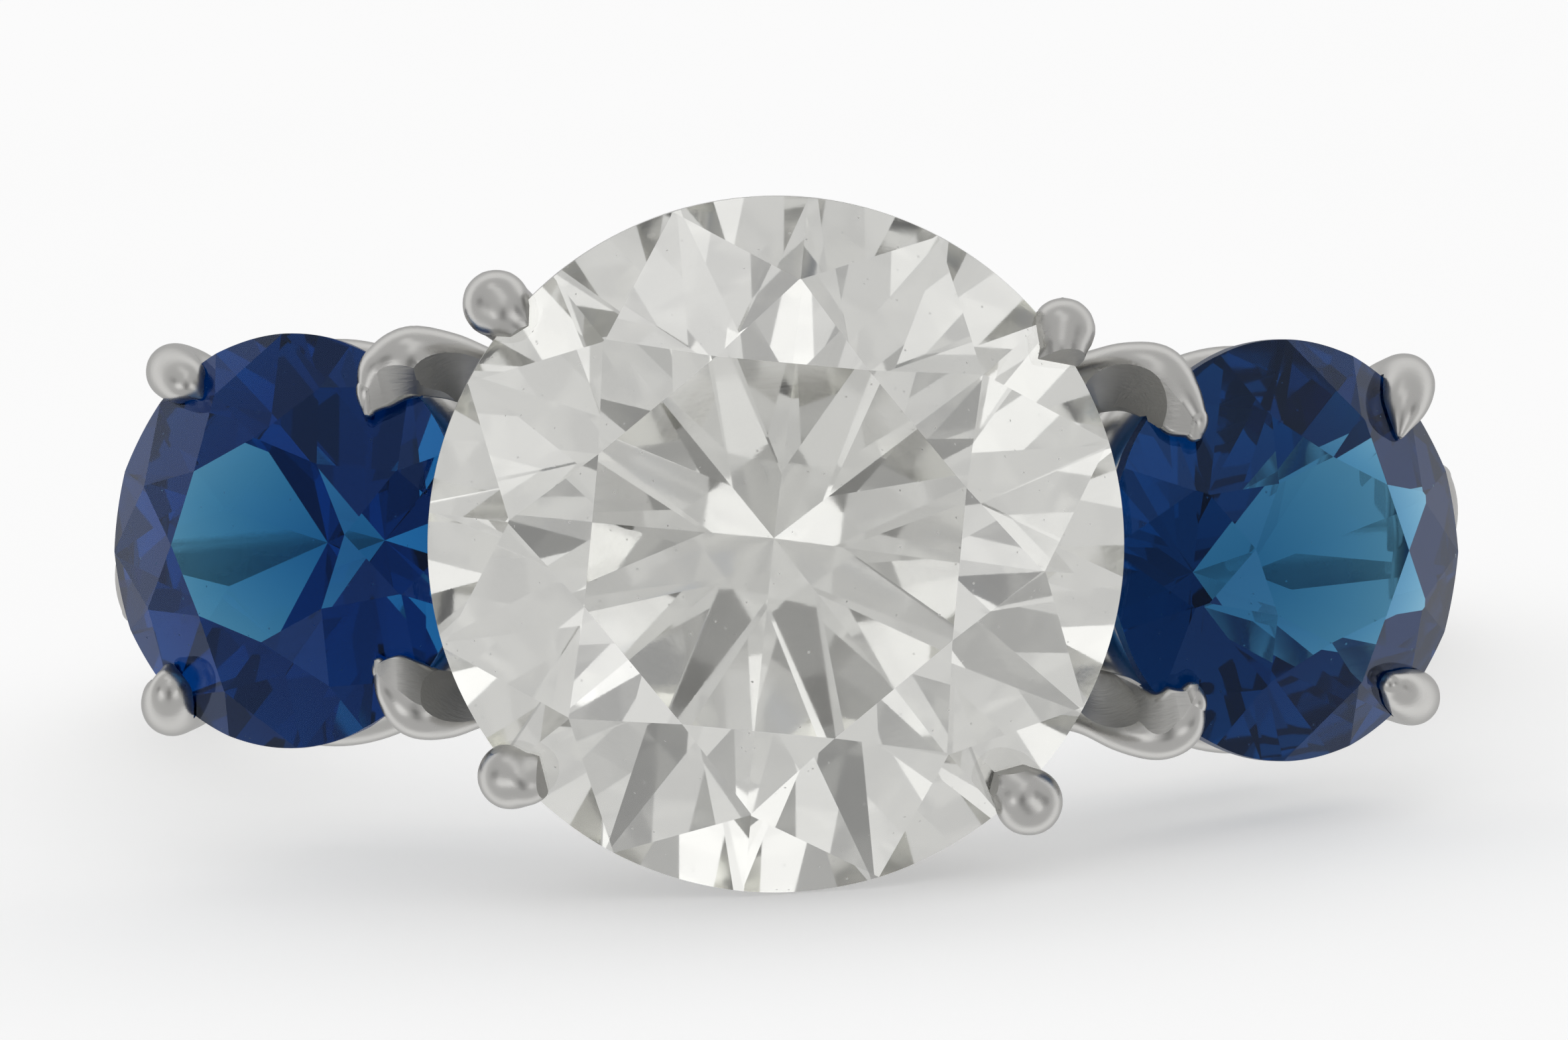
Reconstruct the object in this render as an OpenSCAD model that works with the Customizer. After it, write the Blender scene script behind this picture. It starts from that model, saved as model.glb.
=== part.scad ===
// Three-stone ring: a round diamond between two oval sapphires in a platinum mounting.
// It is drawn upright, with the finger hole along Y and the stones towards +Z,
// and then laid on its side as it rests on a flat surface. Millimetres and degrees.

/* [Shank] */
// Diameter of the finger hole
finger_d = 17.5; // [17.2:0.1:17.8]
// Outer diameter of the shank
shank_d = 21.74; // [21.4:0.02:22]
// Width of the shank along the finger
shank_w = 1.4; // [1.2:0.1:1.8]
// Rounding of the shank's edges
shank_edge_r = 0.22; // [0.15:0.01:0.3]
// Rise of the dome on the outside of the shank
shank_dome = 0.08; // [0.04:0.01:0.16]
// Turn of the shank against the line of the stones
shank_twist = 3.2; // [0:0.1:4]

/* [Diamond] */
// Diameter of the girdle
diamond_d = 11; // [10.8:0.05:11.1]
// Height of the middle of the girdle above the axis of the finger hole
diamond_z = 14.2; // [14:0.05:14.4]
// Sideways place of the stone
diamond_x = -0.17; // [-0.3:0.01:0]
// Tilt of the stone about the line of stones
diamond_tilt = 2.48; // [0:0.01:3]
// Lean of the stone towards the right sapphire
diamond_lean = 0.92; // [0:0.01:2]
// Turn of its facets
diamond_turn = 17.25; // [0:0.25:45]
// Table, from point to point, as a share of the girdle
diamond_table = 0.573; // [0.53:0.001:0.62]
// Height of the crown
diamond_crown = 1.64; // [1.4:0.01:1.8]
// Thickness of the girdle at its thick places
diamond_girdle = 0.45; // [0.35:0.01:0.5]
// Slope of the pavilion's main facets
diamond_slope = 41; // [40:0.1:41.5]

/* [Left sapphire] */
// Width along the line of stones
left_w = 6.35; // [6.25:0.01:6.45]
// Height across the line of stones
left_h = 6.58; // [6.45:0.01:6.7]
// Sideways place of the middle of the girdle
left_x = -7.85; // [-7.95:0.01:-7.75]
// Place of the middle of the girdle along the finger
left_y = 0.05; // [-0.05:0.01:0.15]
// Outward lean
left_lean = 27.8; // [27:0.1:28.5]
// Tilt about the line of stones
left_tilt = -1.1; // [-2:0.1:1]
// Turn of its facets
left_turn = 2.9; // [0:0.1:6]
// Table, from point to point, as a share of the girdle
left_table = 0.493; // [0.47:0.001:0.52]
// Height of the crown
left_crown = 0.92; // [0.88:0.01:1]
// Thickness of the girdle at its thick places
left_girdle = 0.14; // [0.13:0.01:0.2]
// Slope of the pavilion's main facets
left_slope = 41.9; // [41:0.1:42]

/* [Right sapphire] */
// Width along the line of stones
right_w = 6.41; // [6.3:0.01:6.5]
// Height across the line of stones
right_h = 6.69; // [6.55:0.01:6.8]
// Sideways place of the middle of the girdle
right_x = 7.84; // [7.75:0.01:7.95]
// Place of the middle of the girdle along the finger
right_y = -0.1; // [-0.2:0.01:0]
// Outward lean
right_lean = 29.9; // [29:0.1:30.5]
// Tilt about the line of stones
right_tilt = 0.3; // [-1:0.1:1]
// Turn of its facets
right_turn = -0.4; // [-3:0.1:3]
// Table, from point to point, as a share of the girdle
right_table = 0.44; // [0.42:0.001:0.47]
// Height of the crown
right_crown = 1.15; // [1.1:0.01:1.2]
// Thickness of the girdle at its thick places
right_girdle = 0.26; // [0.2:0.01:0.3]
// Slope of the pavilion's main facets
right_slope = 33.1; // [32.5:0.1:33.5]

/* [Claws and galleries] */
// Height of the middle of both sapphires' girdles above the axis of the finger hole
sapphire_z = 11.5; // [11.45:0.01:11.55]
// Gap between a stone and the metal that holds it
seat_gap = 0.05; // [0.04:0.01:0.08]
// Radius of the wire in the galleries
rail_r = 0.36; // [0.32:0.01:0.4]
// Radius of the diamond's upper gallery, to the middle of its wire
diamond_rail = 4.1; // [4:0.05:4.2]
// Radius of the diamond's lower gallery, to the middle of its wire
diamond_base = 2.6; // [2.5:0.05:2.7]
// Radius of a sapphire's upper gallery, to the middle of its wire
sapphire_rail = 2.88; // [2.8:0.01:2.95]
// Radius of a sapphire's lower gallery, to the middle of its wire
sapphire_base = 2.6; // [2.55:0.01:2.65]
// Radius of the opening through the shank behind a sapphire
azure_r = 2.3; // [2.25:0.01:2.35]

/* [Rest] */
// Rise of the stones' axis above the surface that the ring lies on
rest_tilt = 11.07; // [9:0.01:12]
// Turn of the ring about the stones' axis as it lies
rest_roll = -3.42; // [-6:0.01:6]
// Shift along the surface that puts the middle of the laid ring's box over the origin
rest_y = 2.764; // [2:0.001:3.5]
// Height of the middle of the finger hole above the surface
rest_z = 2.717; // [2:0.001:3.5]

/* [Hidden] */

PLATINUM = [0.80, 0.80, 0.81];
CLEAR = [0.93, 0.95, 0.96];
BLUE = [0.09, 0.18, 0.42];

ROUND = 128;       // steps of a full turn on the shank, the galleries and the burs
OPENING = 12;      // sides of the opening behind a sapphire
WIRE = 10;         // sides of a claw's wire
STEPS = 2;         // rings between two rows of a claw's route
CUT = 8;           // main facets on a crown
ARC = 4;           // steps of the girdle along one facet beside it

// A cut's table, crown, girdle, pavilion and turn, the reach of its star facets from the
// table towards the girdle, and the inner end of its lower girdle facets, both as shares
DIAMOND_CUT = [diamond_table, diamond_crown, diamond_girdle, diamond_d / 2 * tan(diamond_slope),
    diamond_turn, 0.514, 0.2];
LEFT_CUT = [left_table, left_crown, left_girdle, left_w / 2 * tan(left_slope), left_turn,
    0.592, 0.477];
RIGHT_CUT = [right_table, right_crown, right_girdle, right_w / 2 * tan(right_slope), right_turn,
    0.482, 0.21];
TABLE = 0; CROWN = 1; GIRDLE = 2; PAVILION = 3; TURN = 4; STAR = 5; HALF = 6;

finger_r = finger_d / 2;
shank_r = shank_d / 2;
diamond_r = diamond_d / 2;
base_h = -4.0;      // lower gallery of the diamond, from the middle of its girdle
rail_h = -2.3;      // upper gallery of the diamond
side_base_h = -3.9; // lower gallery of a sapphire
side_rail_h = -1.5; // upper gallery of a sapphire
azure_h = [-7.5, -1.5]; // ends of the drill behind a sapphire
flat_h = 0.6;       // height over the diamond's girdle at which its claws' flats are placed
flat_size = 2;      // half size of the block that files a flat
bur_tip = 0.1;      // radius of a bur's blunt tip
bur_rise = 1.5;     // height of a bur over the place where its radius is given

// Claws of the diamond: angle round the stone, distance and radius of the ball, reach, turn and
// radius of the tip, and its filed flats with their plan place, the way they face and their slope
ANGLE = 0; REACH = 1; BALL = 2; NIB = 3; SKEW = 4; NIB_R = 5; CLAW_FLATS = 6;
DIAMOND_CLAWS = [
    [139.3, 5.82, 0.56, 0.48, 0, 0.30, [[-4.10, 3.70, 12, 64], [-4.20, 3.36, -66, 66]]],
    [36.7, 5.66, 0.53, 0.60, -3, 0.24, [[3.93, 3.30, 180, 62], [4.30, 2.96, -78, 62]]],
    [221.2, 5.56, 0.55, 0.36, 2, 0.32, [[-3.90, -3.60, 0, 68], [-4.25, -3.17, 118, 66]]],
    [-45.5, 5.70, 0.56, 0.42, 0, 0.38, [[3.32, -3.90, 178, 66], [3.80, -3.58, 96, 74]]]];

// Outer claws of the sapphires: side of the ring, place of the body and of the tip
// seen along the stones' axis, radius of the body and of the tip
SIDE = 0; BODY = 1; TIP = 2; BODY_R = 3; TIP_R = 4;
OUTER_CLAWS = [
    [-1, [-9.74, 2.74], [-9.30, 2.36], 0.45, 0.10],
    [-1, [-9.80, -2.59], [-9.80, -1.98], 0.45, 0.12],
    [1, [9.86, 2.56], [9.73, 1.76], 0.45, 0.12],
    [1, [9.95, -2.44], [9.58, -2.21], 0.45, 0.20]];

// Inner claws of the sapphires: side, rows along the claw and filed hollows. A row is x, y, z and
// radius of its crest and then of its edge over the stone. A hollow is x, y, radius, height and
// slope.
ROWS = 1; HOLLOWS = 2;
INNER_CLAWS = [
    [-1, [[-3.1, 1.9, 10.3, 0.42, -3.1, 1.85, 10.2, 0.42],
          [-3.95, 2.4, 11.8, 0.42, -3.95, 2.3, 11.5, 0.4],
          [-4.75, 2.72, 12.55, 0.38, -4.75, 2.35, 11.9, 0.25],
          [-5.35, 2.95, 12.78, 0.4, -5.4, 2.5, 12.0, 0.2],
          [-5.95, 2.95, 12.85, 0.5, -5.95, 2.45, 12.68, 0.15],
          [-6.42, 2.75, 12.78, 0.38, -6.35, 2.25, 12.78, 0.12],
          [-6.62, 2.45, 12.8, 0.2, -6.6, 2.12, 12.82, 0.1]],
     [[-5.1, 2.05, 0.95, 13.1, 58]]],
    [-1, [[-3.1, -1.9, 10.3, 0.42, -3.1, -1.85, 10.2, 0.42],
          [-3.95, -2.3, 11.8, 0.42, -3.95, -2.2, 11.5, 0.4],
          [-4.8, -2.5, 12.5, 0.38, -4.8, -2.2, 12.1, 0.25],
          [-5.4, -2.68, 12.78, 0.4, -5.4, -2.2, 12.45, 0.2],
          [-5.86, -2.6, 12.92, 0.46, -5.85, -1.98, 12.86, 0.13],
          [-6.2, -2.3, 12.96, 0.34, -6.2, -1.84, 12.93, 0.13],
          [-6.42, -2.02, 12.9, 0.14, -6.45, -1.9, 12.9, 0.1]],
     [[-4.95, -2.05, 0.75, 13.0, 60]]],
    [1, [[3.1, 1.9, 10.3, 0.42, 3.1, 1.85, 10.2, 0.42],
         [3.95, 2.45, 11.8, 0.42, 3.95, 2.35, 11.5, 0.4],
         [4.75, 2.68, 12.5, 0.36, 4.75, 2.3, 11.9, 0.25],
         [5.35, 2.79, 12.85, 0.4, 5.35, 2.3, 12.2, 0.2],
         [5.85, 2.66, 12.98, 0.5, 5.85, 2.05, 12.98, 0.16],
         [6.2, 2.3, 13.08, 0.4, 6.12, 1.82, 13.13, 0.14],
         [6.46, 1.97, 13.16, 0.22, 6.42, 1.76, 13.17, 0.13]],
     [[5.05, 1.95, 0.88, 13.2, 56]]],
    [1, [[3.1, -1.9, 10.3, 0.42, 3.1, -1.85, 10.2, 0.42],
         [3.95, -2.4, 11.8, 0.42, 3.95, -2.3, 11.5, 0.4],
         [4.75, -2.66, 12.5, 0.36, 4.75, -2.2, 11.9, 0.25],
         [5.35, -2.92, 12.8, 0.38, 5.35, -2.3, 12.2, 0.2],
         [5.88, -2.98, 12.95, 0.44, 5.85, -2.52, 12.95, 0.18],
         [6.22, -2.82, 13.0, 0.42, 6.15, -2.38, 13.0, 0.18],
         [6.42, -2.52, 13.02, 0.24, 6.38, -2.36, 13.02, 0.16]],
     [[5.0, -2.1, 0.8, 13.1, 58]]]];

function unit(v) = v / norm(v);
function mix(a, b, t) = a + (b - a) * t;
function polar(r, a) = [r * cos(a), r * sin(a)];

// Height at the place p of the plane through the points a, b and c
function plane_z(a, b, c, p) =
    let (n = cross(b - a, c - a)) a.z - (n.x * (p.x - a.x) + n.y * (p.y - a.y)) / n.z;

// One span of a smooth curve through the rows p
function span(p, i, t) =
    let (a = p[max(i - 1, 0)], b = p[i], c = p[i + 1], d = p[min(i + 2, len(p) - 1)])
    0.5 * (2 * b + (c - a) * t + (2 * a - 5 * b + 4 * c - d) * t ^ 2
        + (3 * b - a - 3 * c + d) * t ^ 3);
function smooth(p, n) =
    [for (i = [0:len(p) - 2]) for (k = [0:n - 1]) span(p, i, k / n), p[len(p) - 1]];

// Wire along a smooth route, with a round end. A row is x, y, z and the wire's radius, and of a
// blade the same again for its second edge. The seam of a wire's rings faces the direction up,
// which its route never follows.
module wire(rows, up = [0, 0, 1]) {
    blade = len(rows[0]) > 4;
    line = smooth([for (q = rows) blade ? q : [each q, each q]], STEPS);
    n = len(line);
    at = [for (q = line) [q.x, q.y, q.z]];
    low = [for (q = line) [q[4], q[5], q[6]]];
    way = [for (i = [0:n - 1]) unit(at[min(i + 1, n - 1)] - at[max(i - 1, 0)])];
    end = way[n - 1];
    r = line[n - 1][3];
    low_r = line[n - 1][7];
    middle = (at[n - 1] + low[n - 1]) / 2;
    half = (at[n - 1] - low[n - 1]) / 2;
    // Each ring's crest, radius, edge, its radius, and the way along the route
    rings = [for (i = [0:n - 1]) [at[i], line[i][3], low[i], line[i][7], way[i]],
        for (a = [30:30:75]) let (tip = middle + end * r * sin(a))
            [tip + half * cos(a), r * cos(a), tip - half * cos(a), low_r * cos(a), end]];
    points = [for (g = rings) let (s = unit(cross(blade ? g[0] - g[2] : up, g[4])), u = cross(g[4], s))
        for (k = [0:WIRE - 1]) let (a = 360 * k / WIRE, out = s * cos(a) + u * sin(a))
            k <= WIRE / 2 ? g[0] + g[1] * out : g[2] + g[3] * out];
    last = len(rings) - 1;
    polyhedron(points, [
        [for (k = [0:WIRE - 1]) k],
        for (i = [0:last - 1]) for (k = [0:WIRE - 1]) let (j = (k + 1) % WIRE)
            each [[i * WIRE + k, (i + 1) * WIRE + j, i * WIRE + j],
                [i * WIRE + k, (i + 1) * WIRE + k, (i + 1) * WIRE + j]],
        [for (k = [WIRE - 1:-1:0]) last * WIRE + k]]);
}

// Cone that files a hollow, from a row of x, y, radius, height and slope
module bur(row) {
    r = row[2];
    fall = tan(row[4]);
    low = (r - bur_tip) * fall;
    translate([row.x, row.y, row[3] - low])
        cylinder(low + bur_rise, bur_tip, r + bur_rise / fall, $fn = ROUND);
}

// Block that files a flat, from a row of x, y, height, the way the flat faces and its slope
module flat(row) {
    translate([row.x, row.y, row[2]]) rotate([0, row[4], row[3]])
        translate([-flat_size, -flat_size, 0]) cube([2, 2, 1] * flat_size);
}

// Brilliant cut with its girdle's middle at the origin and a main facet at the cut's turn.
// It is cut round at radius 1 and drawn out to the half sizes rx and ry.
module brilliant(rx, ry, cut) {
    part = 360 / CUT;
    n = CUT * 2 * ARC;
    table = cut[TABLE];
    top = cut[GIRDLE] / 2;
    crown = cut[CROWN];
    pavilion = cut[PAVILION];
    turn = cut[TURN];
    mid_r = mix(table * cos(part / 2), 1, cut[STAR]);
    mid_z = top + crown * (1 - (mid_r * cos(part / 2) - table) / (1 - table));
    half_r = cut[HALF];
    half_z = -top - pavilion * (1 - half_r * cos(part / 2));
    function ring(r, z, start) =
        [for (i = [0:CUT - 1]) let (p = polar(r, turn + start + i * part)) [p.x, p.y, z]];
    tables = ring(table, top + crown, 0);
    stars = ring(mid_r, mid_z, part / 2);
    halves = ring(half_r, half_z, part / 2);
    // Edge of the girdle under the crown or over the pavilion, facet by facet
    function edge(peaks, z) = [for (k = [0:n - 1])
        let (i = floor(k / (2 * ARC)), first = floor(k / ARC) % 2 == 0,
            b = polar(1, turn + i * part + (first ? 0 : part)),
            c = polar(1, turn + (i + 0.5) * part),
            p = polar(1, turn + k * 360 / n))
        [p.x, p.y, plane_z(peaks[i], [b.x, b.y, z], [c.x, c.y, z], p)]];
    unit_points = concat(tables, stars, edge(stars, top), edge(halves, -top), halves,
        [[0, 0, -top - pavilion]]);
    star0 = CUT;
    up0 = 2 * CUT;
    low0 = up0 + n;
    half0 = low0 + n;
    culet = half0 + CUT;
    polyhedron([for (p = unit_points) [p.x * rx, p.y * ry, p.z]], [
        [for (i = [CUT - 1:-1:0]) i],
        for (i = [0:CUT - 1]) let (j = (i + 1) % CUT, h = (i + CUT - 1) % CUT,
                g = i * 2 * ARC, m = g + ARC, e = (g + 2 * ARC) % n)
            each [
                [i, j, star0 + i],
                [i, star0 + i, up0 + g, star0 + h],
                [star0 + i, for (k = [m:-1:g]) up0 + k],
                [star0 + i, for (k = [m + ARC:-1:m]) up0 + k % n],
                [half0 + i, for (k = [g:m]) low0 + k],
                [half0 + i, for (k = [m:m + ARC]) low0 + k % n],
                [culet, half0 + h, low0 + g, half0 + i]],
        for (k = [0:n - 1]) let (j = (k + 1) % n)
            each [[up0 + k, up0 + j, low0 + j], [up0 + k, low0 + j, low0 + k]]]);
}

// The stones in their own frames, girdle level at z = 0
module diamond_cut() brilliant(diamond_r, diamond_r, DIAMOND_CUT);
module sapphire_cut(side) {
    size = half_size(side);
    brilliant(size.x, size.y, cut_of(side));
}

// Values of the sapphire on one side of the ring
function half_size(side) = side < 0 ? [left_w, left_h] / 2 : [right_w, right_h] / 2;
function cut_of(side) = side < 0 ? LEFT_CUT : RIGHT_CUT;
function place(side) = side < 0 ? [left_x, left_y, sapphire_z] : [right_x, right_y, sapphire_z];
function tilt(side) = side < 0 ? left_tilt : right_tilt;
function lean(side) = side * (side < 0 ? left_lean : right_lean);

// Places for what is drawn in a stone's own frame
module at_diamond() {
    translate([diamond_x, 0, diamond_z]) rotate([diamond_tilt, diamond_lean, 0]) children();
}
module at_sapphire(side) {
    translate(place(side)) rotate([tilt(side), lean(side), 0]) children();
}

// A vector turned about X or Y
function about_x(v, a) = [v.x, v.y * cos(a) - v.z * sin(a), v.y * sin(a) + v.z * cos(a)];
function about_y(v, a) = [v.x * cos(a) + v.z * sin(a), v.y, v.z * cos(a) - v.x * sin(a)];
// Point of the upright ring from a sapphire's frame, and the other way round
function from_sapphire(side, v) = place(side) + about_y(about_x(v, tilt(side)), lean(side));
function to_sapphire(side, v) = about_x(about_y(v - place(side), -lean(side)), -tilt(side));

// Point of the upright ring at the height h over a sapphire's girdle, above the plan place p
function over_sapphire(side, p, h) =
    let (at = place(side), up = from_sapphire(side, [0, 0, 1]) - at)
    [p.x, p.y, at.z + (h - up.x * (p.x - at.x) - up.y * (p.y - at.y)) / up.z];
// The same at the height lift over the sapphire's crown
function on_crown(side, p, lift) =
    let (cut = cut_of(side), size = half_size(side), crown = cut[CROWN],
        at = to_sapphire(side, over_sapphire(side, p, crown / 2)),
        far = min(norm([at.x / size.x, at.y / size.y]), 1),
        rise = crown * min(1, (1 - far) / (1 - cut[TABLE])) + cut[GIRDLE] / 2)
    over_sapphire(side, p, rise + lift);
// Point from a direction and a distance in the sapphire's own frame
function by_sapphire(side, dir, r, h) = from_sapphire(side, [side * dir.x * r, dir.y * r, h]);

module gallery(r) rotate_extrude($fn = ROUND) translate([r, 0]) circle(rail_r, $fn = 24);

// Profile of the shank: flat inside, a low dome outside, and rounded edges
module shank_profile() {
    half = shank_w / 2 - shank_edge_r;
    inner = finger_r + shank_edge_r;
    outer = shank_r - shank_dome - shank_edge_r;
    dome_r = (half ^ 2 + shank_dome ^ 2) / (2 * shank_dome);
    corner = [for (a = [0:22.5:90]) shank_edge_r * [cos(a), sin(a)]];
    side = [
        for (c = [4:-1:0]) [inner - corner[c].x, half + corner[c].y],
        for (c = [4:-1:0]) [inner - corner[4 - c].x, -half - corner[4 - c].y],
        for (c = [4:-1:0]) [outer + corner[c].x, -half - corner[c].y],
        for (t = [-0.6:0.4:0.6])
            [shank_r - dome_r + sqrt(dome_r ^ 2 - (half * t) ^ 2), half * t],
        for (c = [0:4]) [outer + corner[c].x, half + corner[c].y]];
    polygon(side);
}

// Shank, with an opening to the light behind each sapphire
module shank() difference() {
    rotate([0, 0, shank_twist]) rotate([90, 0, 0]) rotate_extrude($fn = ROUND) shank_profile();
    for (side = [-1, 1]) at_sapphire(side) translate([0, 0, azure_h[0]])
        cylinder(azure_h[1] - azure_h[0], azure_r, azure_r, $fn = OPENING);
}

module diamond_claw(row) {
    a = row[ANGLE];
    out = polar(1, a);
    nib = polar(1, a + row[SKEW]);
    ball = row[BALL];
    tip_z = 0.72 - row[NIB_R];
    function at(way, r, h, w) = [diamond_x + way.x * r, way.y * r, diamond_z + h, w];
    difference() {
        union() {
            wire([
                at(out, diamond_base, base_h, 0.42),
                at(out, diamond_rail + 0.05, rail_h, 0.44),
                at(out, 5.3, -1.0, 0.48),
                at(out, row[REACH] - 0.06, -0.2, ball - 0.04),
                at(out, row[REACH], 0.2, ball - 0.01)],
                [-out.y, out.x, 0]);
            wire([
                at(out, row[REACH], 0.28, ball - 0.1),
                at(nib, row[REACH] - row[NIB] / 2, mix(0.3, tip_z, 0.6), mix(ball, row[NIB_R], 0.42)),
                at(nib, row[REACH] - row[NIB], tip_z, row[NIB_R])],
                [-out.y, out.x, 0]);
        }
        for (f = row[CLAW_FLATS]) flat([f[0], f[1], diamond_z + flat_h, f[2], f[3]]);
    }
}

module outer_claw(row) {
    side = row[SIDE];
    body = row[BODY];
    tip = row[TIP];
    at = place(side);
    away = [(body.x - at.x) * side / cos(lean(side)), body.y - at.y];
    out = unit(away);
    wire([
        [each by_sapphire(side, out, sapphire_base + 0.1, side_base_h), 0.34],
        [each by_sapphire(side, out, sapphire_rail + 0.15, side_rail_h), 0.36],
        [each by_sapphire(side, out, norm(away) - 0.03, -0.55), row[BODY_R] - 0.05],
        [each over_sapphire(side, body, 0.08), row[BODY_R]],
        [each over_sapphire(side, mix(body, tip, 0.5), 0.5), row[BODY_R] - 0.08],
        [each on_crown(side, tip, row[TIP_R] + 0.02), row[TIP_R]]],
        [-out.y * side, out.x, 0]);
}

module inner_claw(row) difference() {
    wire(row[ROWS]);
    for (h = row[HOLLOWS]) bur(h);
}

// The metal before the seats are cut
module metal() {
    shank();
    at_diamond() {
        translate([0, 0, base_h]) gallery(diamond_base);
        translate([0, 0, rail_h]) gallery(diamond_rail);
    }
    for (side = [-1, 1]) at_sapphire(side) {
        translate([0, 0, side_base_h]) gallery(sapphire_base);
        translate([0, 0, side_rail_h]) gallery(sapphire_rail);
    }
    for (row = DIAMOND_CLAWS) diamond_claw(row);
    for (row = OUTER_CLAWS) outer_claw(row);
    for (row = INNER_CLAWS) inner_claw(row);
}

// The upright ring laid on its side
module laid() {
    translate([0, rest_y, rest_z]) rotate([90 - rest_tilt, 0, 0]) rotate([0, 0, rest_roll])
        children();
}

module mounting() {
    color(PLATINUM) laid() difference() {
        metal();
        at_diamond() scale(1 + seat_gap / diamond_r) diamond_cut();
        for (side = [-1, 1]) at_sapphire(side)
            scale(1 + seat_gap / half_size(side).x) sapphire_cut(side);
    }
}
module diamond() color(CLEAR) laid() at_diamond() diamond_cut();
module left_sapphire() color(BLUE) laid() at_sapphire(-1) sapphire_cut(-1);
module right_sapphire() color(BLUE) laid() at_sapphire(1) sapphire_cut(1);

mounting();
diamond();
left_sapphire();
right_sapphire();
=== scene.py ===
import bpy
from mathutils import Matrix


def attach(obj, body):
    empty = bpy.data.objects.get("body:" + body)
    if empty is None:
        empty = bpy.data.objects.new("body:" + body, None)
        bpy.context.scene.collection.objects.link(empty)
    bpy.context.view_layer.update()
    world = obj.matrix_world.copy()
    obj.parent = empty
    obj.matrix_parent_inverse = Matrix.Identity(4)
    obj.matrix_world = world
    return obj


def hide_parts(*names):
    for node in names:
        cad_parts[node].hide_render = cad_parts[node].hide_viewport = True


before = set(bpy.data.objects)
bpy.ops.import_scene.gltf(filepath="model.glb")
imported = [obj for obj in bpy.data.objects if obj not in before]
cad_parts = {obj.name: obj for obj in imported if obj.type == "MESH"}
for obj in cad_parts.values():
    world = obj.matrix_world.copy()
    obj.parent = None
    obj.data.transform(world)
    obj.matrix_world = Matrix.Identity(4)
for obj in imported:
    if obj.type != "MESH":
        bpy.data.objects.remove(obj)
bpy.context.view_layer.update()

from math import cos, hypot, pi, radians, sin, sqrt, tan

import bmesh
import bpy
from mathutils import Matrix, Vector

# The ring is worked out upright, in millimetres: the finger hole runs along Y, and the stones
# face +Z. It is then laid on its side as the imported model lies.
MM = 0.001
REST_TILT = radians(11.07)
REST_ROLL = radians(-3.42)
REST_SHIFT = Vector((0, 2.764, 2.717))
LAID = (Matrix.Scale(MM, 4) @ Matrix.Translation(REST_SHIFT)
        @ Matrix.Rotation(pi / 2 - REST_TILT, 4, "X") @ Matrix.Rotation(REST_ROLL, 4, "Z"))

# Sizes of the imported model
FINGER_R = 8.75
SHANK_R = 10.87
SHANK_W = 1.4
SHANK_EDGE_R = 0.22
SHANK_DOME = 0.08
SHANK_TWIST = radians(3.2)
SHANK_STEPS = 320
DIAMOND_R = 5.5
DIAMOND_AT = Vector((-0.17, 0, 14.2))
DIAMOND_TILT = (radians(2.48), radians(0.92))
SAPPHIRE_Z = 11.5
SAPPHIRE_AT = {-1: Vector((-7.85, 0.05, SAPPHIRE_Z)), 1: Vector((7.84, -0.1, SAPPHIRE_Z))}
SAPPHIRE_SIZE = {-1: (6.35, 6.58), 1: (6.41, 6.69)}
# Outward lean of each sapphire, and its tilt along the finger
LEAN = {-1: radians(27.8), 1: radians(29.9)}
TILT = {-1: radians(-1.1), 1: radians(0.3)}
# What a seat adds to a stone's half width
SEAT_GAP = 0.05
# Rings of the under-galleries: radius of the wire, then radius and height over the girdle
RAIL_R = 0.36
DIAMOND_RAILS = ((4.1, -2.3), (2.6, -4.0))
SAPPHIRE_RAILS = ((2.88, -1.5), (2.6, -3.9))
# Openings through the shank behind the sapphires: radius, and both ends over the girdle
AZURE_R = 2.3
AZURE_SPAN = (-7.5, -1.5)

# Light of the studio's front half, where the camera stands, and of its back half
FRONT_LIGHT = 0.6
BACK_LIGHT = 1.0
DIMMEST_LIGHT = 0.01
# Angles from the camera between which the front half turns into the back half
FRONT_ENDS = (90, 106)
# Soft zones: degrees right of and above the camera, inner and outer angle, light added
STUDIO_ZONES = (
    (0, -14, 4, 14, -0.45),
    (0, -34, 5, 16, -0.3),
    (0, 2, 2, 10, -0.25),
    (-40, -20, 6, 20, 0.6),
    (36, -18, 6, 20, 0.5),
    (0, 26, 4, 16, 0.25),
    (4, 48, 6, 18, 0.3),
    (-30, 62, 5, 16, 0.3),
    (-58, 4, 4, 18, -0.3),
    (58, 2, 4, 18, -0.3),
    (180, 0, 35, 60, -0.35))

# Camera: straight down on the stones, as the photo looks. Lengths in millimetres.
VIEW_DISTANCE = 600.0
VIEW_WIDTH = 24.764
VIEW_AT = (-0.04, 0.38)


def upright_place(side):
    """Places what is drawn in a stone's own frame, girdle level at z = 0. side 0 is the diamond."""
    if side == 0:
        return (Matrix.Translation(DIAMOND_AT) @ Matrix.Rotation(DIAMOND_TILT[1], 4, "Y")
                @ Matrix.Rotation(DIAMOND_TILT[0], 4, "X"))
    return (Matrix.Translation(SAPPHIRE_AT[side]) @ Matrix.Rotation(side * LEAN[side], 4, "Y")
            @ Matrix.Rotation(TILT[side], 4, "X"))


def polar(r, a):
    return Vector((r * cos(a), r * sin(a), 0))


def mix(a, b, t):
    return a + (b - a) * t


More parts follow.
